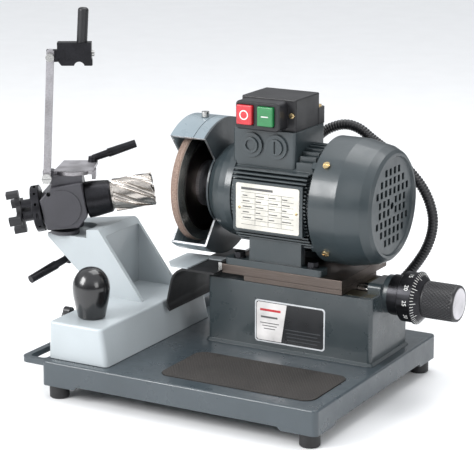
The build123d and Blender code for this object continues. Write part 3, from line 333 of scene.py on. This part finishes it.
def annulus_y(name, x, z, inner, outer, y0, y1, mat, body, segments=48):
    """Flat ring facing -Y."""
    vertices, faces = [], []
    for k in range(segments):
        a = 2 * pi * k / segments
        for r, y in ((outer, y0), (inner, y0), (inner, y1), (outer, y1)):
            vertices.append((x + r * cos(a), y, z + r * sin(a)))
    for k in range(segments):
        a, b = 4 * k, 4 * ((k + 1) % segments)
        for i in range(4):
            faces.append((a + i, a + (i + 1) % 4, b + (i + 1) % 4, b + i))
    return mesh_object(name, vertices, faces, mat, body)


def dome_y(name, spots, radius, height, y, mat, body):
    """Low round rivet heads on a face that looks towards -Y, one at each (x, z)."""
    rings, around = 4, 20
    vertices, faces = [], []
    for x, z in spots:
        first = len(vertices)
        for ring in range(rings):
            angle = ring * pi / (2 * rings)
            for k in range(around):
                a = 2 * pi * k / around
                r = radius * cos(angle)
                vertices.append((x + r * cos(a), y - height * sin(angle), z + r * sin(a)))
        vertices.append((x, y - height, z))
        for ring in range(rings - 1):
            for k in range(around):
                a, b = first + ring * around + k, first + ring * around + (k + 1) % around
                faces.append((a, b, b + around, a + around))
        top = first + (rings - 1) * around
        faces += [(top + k, top + (k + 1) % around, top + around) for k in range(around)]
    obj = mesh_object(name, vertices, faces, mat, body)
    for polygon in obj.data.polygons:
        polygon.use_smooth = True
    return obj


# ---------------------------------------------------------------- plates, labels and icons

PLATE_FACE = -9.5
rounded_plate("rating_plate", -4, 78, 192, 246, PLATE_FACE, -9.0, 2.5, PLATE_CREAM, "table")
RULES = [(3, 71, z, z + 0.35) for z in (235.5, 229, 222.5, 216, 209.5, 203, 197.5)]
RULES += [(x, x + 0.35, 197.5, 235.5) for x in (21, 38, 55)]
WORD_BARS = [(5 + 17 * column, 11 + 17 * column + (3 * row + 5 * column) % 7,
              231.2 - 6.5 * row, 232.4 - 6.5 * row) for row in range(5) for column in range(4)]
WORD_BARS.append((3, 44, 238.6, 241.4))
join_boxes("rating_plate_rules",
           [(x0, x1, PLATE_FACE - 0.1, PLATE_FACE + 0.05, z0, z1) for x0, x1, z0, z1 in RULES + WORD_BARS],
           INK_GREY, "table")
dome_y("rating_plate_rivets", [(0.6, 217), (74.4, 217)], 1.7, 0.9, PLATE_FACE, MATERIALS["brass"], "table")

LABEL_FACE = 3.95
LABEL_FRONT = LABEL_FACE - 0.2
rounded_plate("label_border", 14, 105.5, 54.5, 105.5, 4.1, 4.5, 4, SILVER_FILM, "frame")
rounded_plate("label_field", 15.8, 103.7, 56.3, 103.7, LABEL_FACE, 4.2, 3, INK_BLACK, "frame")
upright_plate("label_white_panel", [(18.5, 57), (49, 57), (56, 103), (18.5, 103), (16.5, 101), (16.5, 59)],
              LABEL_FACE - 0.12, LABEL_FACE + 0.05, LABEL_WHITE, "frame")
join_boxes("label_red_bar", [(21, 48, LABEL_FRONT, LABEL_FACE, 92.5, 95.3)], MATERIALS["button_red"], "frame")
DARK_BARS = [(22, 44, 84.2, 86.4), (21, 46, 77.6, 78.6), (24, 43, 74.2, 75.2), (26, 41, 70.8, 71.8)]
join_boxes("label_dark_bars", [(x0, x1, LABEL_FRONT, LABEL_FACE, z0, z1) for x0, x1, z0, z1 in DARK_BARS],
           INK_GREY, "frame")
FAINT_BARS = [(54 + k, 100 - 4 * (k % 2), 73 - 4.2 * k, 74.1 - 4.2 * k) for k in range(4)]
join_boxes("label_faint_bars",
           [(x0, x1, LABEL_FACE - 0.08, LABEL_FACE, z0, z1) for x0, x1, z0, z1 in FAINT_BARS],
           INK_FAINT, "frame")

BUTTON_FACE, BUTTON_MIDDLE = -10.0, 325.25
ICON_FRONT, ICON_BACK = BUTTON_FACE - 0.15, BUTTON_FACE + 0.1
annulus_y("stop_icon", 6.4, BUTTON_MIDDLE, 4.3, 5.6, ICON_FRONT, ICON_BACK, MARKING_WHITE, "stop")
join_boxes("start_icon", [(28.6, 37.8, ICON_FRONT, ICON_BACK, BUTTON_MIDDLE - 0.7, BUTTON_MIDDLE + 0.7)],
           MARKING_WHITE, "start")

# ---------------------------------------------------------------- bright sheet edges and machined faces

GUARD_LEFT, GUARD_SEAM, GUARD_R, GUARD_WALL = -98.0, -52.6, 82.0, 2.5
GUARD_OPEN = radians(52)


def guard_point(x, radius, angle, lift):
    """Point at a radius and an angle from -Y about the motor axis, lifted off the guard's cut face."""
    side = 1 if angle > 0 else -1
    y = MOTOR_Y - radius * cos(angle) - lift * sin(abs(angle))
    z = MOTOR_Z + radius * sin(angle) - side * lift * cos(angle)
    return (x, y, z)


def guard_edges():
    """Bright cut edges of the guard's sheet along both sides of its open front."""
    vertices, faces = [], []
    strips = ((GUARD_LEFT, GUARD_SEAM, GUARD_R - GUARD_WALL, GUARD_R),
              (GUARD_LEFT, GUARD_LEFT + GUARD_WALL, 50, GUARD_R),
              (GUARD_SEAM, GUARD_SEAM + 2.6, 47, GUARD_R))
    for angle in (GUARD_OPEN, -GUARD_OPEN):
        for x0, x1, r0, r1 in strips:
            n = len(vertices)
            for lift in (0.0, 0.15):
                vertices += [guard_point(x0, r0, angle, lift), guard_point(x1, r0, angle, lift),
                             guard_point(x1, r1, angle, lift), guard_point(x0, r1, angle, lift)]
            faces += [tuple(n + i for i in face) for face in BOX_FACES]
    return mesh_object("guard_bright_edges", vertices, faces, BRIGHT_EDGE, "table")


guard_edges()
WAY_FACES = [(100, 147, 13, 34.8), (100, 147, 68.2, 95), (148.5, 160, 13, 26.4), (148.5, 160, 76.6, 95)]
WAY_TOP, WAY_FILM = 124.5, 0.12
join_boxes("riser_way_faces", [(*face, WAY_TOP, WAY_TOP + WAY_FILM) for face in WAY_FACES], OILED_WAY,
           "frame")


def mat_lozenges():
    """Raised lozenges all over the rubber mat, inside its rounded outline."""
    x0, x1, y0, y1, top, corner = -33.5, 158.5, -134.5, -41.5, 46.5, 12.0
    step_x, step_y, height = 3.6, 2.6, 0.35
    vertices, faces = [], []
    for row in range(int((y1 - y0) / step_y)):
        for column in range(int((x1 - x0) / step_x)):
            x = x0 + (column + 0.5 + 0.5 * (row % 2)) * step_x
            y = y0 + (row + 0.5) * step_y
            dx = max(x0 + corner - x, x - x1 + corner, 0.0)
            dy = max(y0 + corner - y, y - y1 + corner, 0.0)
            if sqrt(dx * dx + dy * dy) > corner - 1.5 or x > x1 - 2:
                continue
            n = len(vertices)
            for share, z in ((1.0, top), (0.45, top + height)):
                vertices += [(x - 1.7 * share, y, z), (x, y - 1.9 * share, z), (x + 1.7 * share, y, z),
                             (x, y + 1.9 * share, z)]
            faces.append((n + 4, n + 5, n + 6, n + 7))
            faces += [(n + i, n + (i + 1) % 4, n + 4 + (i + 1) % 4, n + 4 + i) for i in range(4)]
    return mesh_object("mat_lozenges", vertices, faces, MATERIALS["mat_rubber"], "frame")


mat_lozenges()

# ---------------------------------------------------------------- feed dial and knob

DRUM_R, BEVEL_OUT, BEVEL_IN = 29.0, (202.4, 30.5), (211.0, 21.0)
INK_R, NUMBERS_X = DRUM_R + 0.06, 193.2


def dial_ticks():
    """Fifty white graduations on the dial's bevel, every fifth one longer."""
    vertices, faces = [], []
    for k in range(50):
        a = 2 * pi * k / 50
        far = 0.62 if k % 5 == 0 else 0.38
        for share in (0.05, far):
            x = BEVEL_OUT[0] + (BEVEL_IN[0] - BEVEL_OUT[0]) * share
            r = BEVEL_OUT[1] + (BEVEL_IN[1] - BEVEL_OUT[1]) * share
            half = 0.32 / r
            for lift in (-0.05, 0.09):
                for turn in (-half, half):
                    vertices.append((x + lift * 0.7, MOTOR_Y + (r + lift * 0.7) * cos(a + turn),
                                     SCREW_Z + (r + lift * 0.7) * sin(a + turn)))
        n = 8 * k
        for face in ((0, 1, 3, 2), (4, 6, 7, 5), (0, 4, 5, 1), (2, 3, 7, 6), (0, 2, 6, 4), (1, 5, 7, 3)):
            faces.append(tuple(n + i for i in face))
    return mesh_object("dial_ticks", vertices, faces, MARKING_WHITE, "feed")


def dial_numbers():
    """Numbers 0 to 45 wrapped round the dial's drum."""
    vertices, faces = [], []
    for k in range(10):
        curve = bpy.data.curves.new("digits", "FONT")
        curve.body = str(5 * k)
        curve.size = 7.0
        curve.align_x = "CENTER"
        curve.resolution_u = 3
        mesh = evaluated_mesh(bpy.data.objects.new("digits", curve))
        n = len(vertices)
        for point in mesh.vertices:
            a = 2 * pi * k / 10 + point.co.x / DRUM_R
            vertices.append((NUMBERS_X + point.co.y, MOTOR_Y + INK_R * cos(a), SCREW_Z + INK_R * sin(a)))
        faces += [tuple(n + i for i in polygon.vertices) for polygon in mesh.polygons]
        bpy.data.meshes.remove(mesh)
    return mesh_object("dial_numbers", vertices, faces, MARKING_WHITE, "feed")


dial_ticks()
dial_numbers()


def knurled_knob():
    """Feed knob with a crossed knurl between two plain rims and a recess for its cap."""
    around, pairs = 288, 36
    profile = [(211.0, 5.0, 0), (211.0, 20.2, 0), (211.8, 21.0, 0), (213.4, 21.0, 0)]
    profile += [(213.6 + 0.65 * k, 20.7, 1) for k in range(53)]
    profile += [(248.4, 21.0, 0), (249.8, 21.0, 0), (250.9, 20.0, 0), (251.0, 18.3, 0), (248.6, 18.3, 0),
                (248.6, 5.0, 0)]
    vertices, faces = [], []
    for k in range(around):
        a = 2 * pi * k / around
        for x, r, knurl in profile:
            if knurl:
                run = (x - 213.6) / 20.7
                left = abs(((a * pairs / (2 * pi) + run * pairs / 9) % 1) - 0.5)
                right = abs(((a * pairs / (2 * pi) - run * pairs / 9) % 1) - 0.5)
                r += 0.75 * min(1.0, 2.2 * min(0.5 - left, 0.5 - right) + 0.05)
            vertices.append((x, MOTOR_Y + r * cos(a), SCREW_Z + r * sin(a)))
    count = len(profile)
    for k in range(around):
        base, after = k * count, ((k + 1) % around) * count
        faces += [(base + i, base + i + 1, after + i + 1, after + i) for i in range(count - 1)]
    obj = mesh_object("knurled_knob", vertices, faces, MATERIALS["plastic_matte"], "feed")
    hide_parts("feed_knob")
    return obj


knurled_knob()

# ---------------------------------------------------------------- corrugated conduit

CONDUIT_ROUTE = [
    (42, 100, 284), (42, 110, 284), (48, 122, 291), (67, 128, 298), (87, 128, 294.2), (103, 128, 282.4),
    (135, 128, 264), (163, 128, 239.6), (176.3, 128, 220.8), (183.4, 128, 199.9), (183.6, 128, 184.2),
    (180.4, 128, 169.3), (174.3, 127, 153.8), (163.3, 126, 136.4), (150, 124, 119), (138, 118, 106),
    (132, 108, 99.5), (132, 92, 99),
]


def conduit_line():
    """Points read along the smooth line through the conduit's route, in millimetres."""
    curve = bpy.data.curves.new("conduit_line", "CURVE")
    curve.dimensions = "3D"
    spline = curve.splines.new("NURBS")
    spline.points.add(len(CONDUIT_ROUTE) - 1)
    for point, place in zip(spline.points, CONDUIT_ROUTE):
        point.co = (*place, 1)
    spline.order_u = 3
    spline.use_endpoint_u = True
    spline.resolution_u = 24
    mesh = evaluated_mesh(bpy.data.objects.new("conduit_line", curve))
    points = [v.co.copy() for v in mesh.vertices]
    bpy.data.meshes.remove(mesh)
    return points


def corrugated_conduit():
    """Ribbed plastic conduit along that line: rounded ribs with narrow grooves between them."""
    points = conduit_line()
    step, pitch, segments = 0.6, 3.6, 28
    rings = []
    travelled, due = 0.0, 0.0
    for a, b in zip(points, points[1:]):
        run = (b - a).length
        while run > 0 and due <= travelled + run:
            rings.append((a.lerp(b, (due - travelled) / run), (b - a).normalized(), due))
            due += step
        travelled += run
    side = Vector((0, 0, 1))
    vertices, faces = [], []
    for place, along, distance in rings:
        side = (side - along * side.dot(along)).normalized()
        other = along.cross(side)
        phase = (distance / pitch) % 1
        radius = 6.2 - 1.0 * max(0.0, cos(2 * pi * phase)) ** 1.5
        for k in range(segments):
            a = 2 * pi * k / segments
            vertices.append(tuple(place + side * radius * cos(a) + other * radius * sin(a)))
    for i in range(len(rings) - 1):
        for k in range(segments):
            a, b = i * segments + k, i * segments + (k + 1) % segments
            faces.append((a, b, b + segments, a + segments))
    faces.append(tuple(range(segments - 1, -1, -1)))
    last = (len(rings) - 1) * segments
    faces.append(tuple(range(last, last + segments)))
    obj = mesh_object("corrugated_conduit", vertices, faces, MATERIALS["conduit_grey"], "table")
    for polygon in obj.data.polygons:
        polygon.use_smooth = len(polygon.vertices) == 4
    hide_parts("conduit")
    return obj


corrugated_conduit()

# ---------------------------------------------------------------- scale on the protractor plate

PLATE_TOP, NOSE_E1, NOSE_E2 = 237.2, 11.0, 4.0


def in_head(e1, e2, z):
    """Place in the swivelled frame of the work head."""
    return (SWIVEL_X + e1 * cos(HEAD_YAW) - e2 * sin(HEAD_YAW),
            SWIVEL_Y + e1 * sin(HEAD_YAW) + e2 * cos(HEAD_YAW), z)


def protractor_scale():
    """Dark degree marks along the plate's rounded nose, every fifth one longer."""
    vertices, faces = [], []
    for k in range(-14, 15):
        a = radians(-90 + 3.2 * k)
        inner = 22.0 - (5.5 if k % 5 == 0 else 3.2)
        n = len(vertices)
        for lift in (-0.05, 0.08):
            for r, w in ((inner, -0.2), (inner, 0.2), (22.2, 0.2), (22.2, -0.2)):
                e1 = NOSE_E1 + r * cos(a) - w * sin(a)
                e2 = NOSE_E2 + r * sin(a) + w * cos(a)
                vertices.append(in_head(e1, e2, PLATE_TOP + lift))
        faces += [tuple(n + i for i in face) for face in BOX_FACES]
    return mesh_object("protractor_scale", vertices, faces, INK_BLACK, "head")


protractor_scale()

# ---------------------------------------------------------------- camera, light and floor

camera_data = bpy.data.cameras.new("camera")
camera_data.lens = 143.0
camera_data.sensor_width = 36.0
camera_data.clip_end = 20
camera = bpy.data.objects.new("camera", camera_data)
camera.location = (1.030 + SHIFT_X * MM, -1.8495, 0.729)
camera.rotation_euler = (radians(75.8), 0, radians(29.3))
bpy.context.scene.collection.objects.link(camera)
bpy.context.scene.camera = camera


def area_light(name, location, target, size, power):
    """Soft rectangular lamp aimed at a point."""
    data = bpy.data.lights.new(name, "AREA")
    data.shape = "RECTANGLE"
    data.size, data.size_y = size
    data.energy = power
    lamp = bpy.data.objects.new(name, data)
    lamp.location = location
    lamp.rotation_euler = (Vector(target) - Vector(location)).to_track_quat("-Z", "Y").to_euler()
    bpy.context.scene.collection.objects.link(lamp)
    return lamp


area_light("key", (-1.1, -1.7, 1.25), (0, 0, 0.15), (1.0, 1.0), 46)
area_light("fill", (1.9, -0.9, 0.9), (0, 0, 0.15), (0.9, 0.9), 11)
area_light("top", (0.1, 0.5, 1.9), (0, 0, 0.1), (1.4, 1.4), 20)


def studio_world():
    """Even studio dome: dim near the horizon, bright overhead."""
    world = bpy.data.worlds.new("studio")
    world.use_nodes = True
    tree = world.node_tree
    source = tree.nodes.new("ShaderNodeTexCoord")
    split = tree.nodes.new("ShaderNodeSeparateXYZ")
    tree.links.new(source.outputs["Generated"], split.inputs["Vector"])
    sky = ramp(tree, split.outputs["Z"], [(0.0, (0.16, 0.165, 0.17)), (0.22, (0.22, 0.225, 0.23)),
                                          (0.55, (0.95, 0.97, 1.0))])
    tree.links.new(sky, tree.nodes["Background"].inputs["Color"])
    tree.nodes["Background"].inputs["Strength"].default_value = 1.0
    return world


bpy.context.scene.world = studio_world()
bpy.context.scene.view_settings.view_transform = "Standard"

floor_mesh = bpy.data.meshes.new("floor")
floor_mesh.from_pydata([(-6, -6, 0), (6, -6, 0), (6, 6, 0), (-6, 6, 0)], [], [(0, 1, 2, 3)])
floor = bpy.data.objects.new("floor", floor_mesh)
bpy.context.scene.collection.objects.link(floor)
floor_mesh.materials.append(paint("floor_white", (0.90, 0.905, 0.91), 0.6, 0.0, variation=0.01))
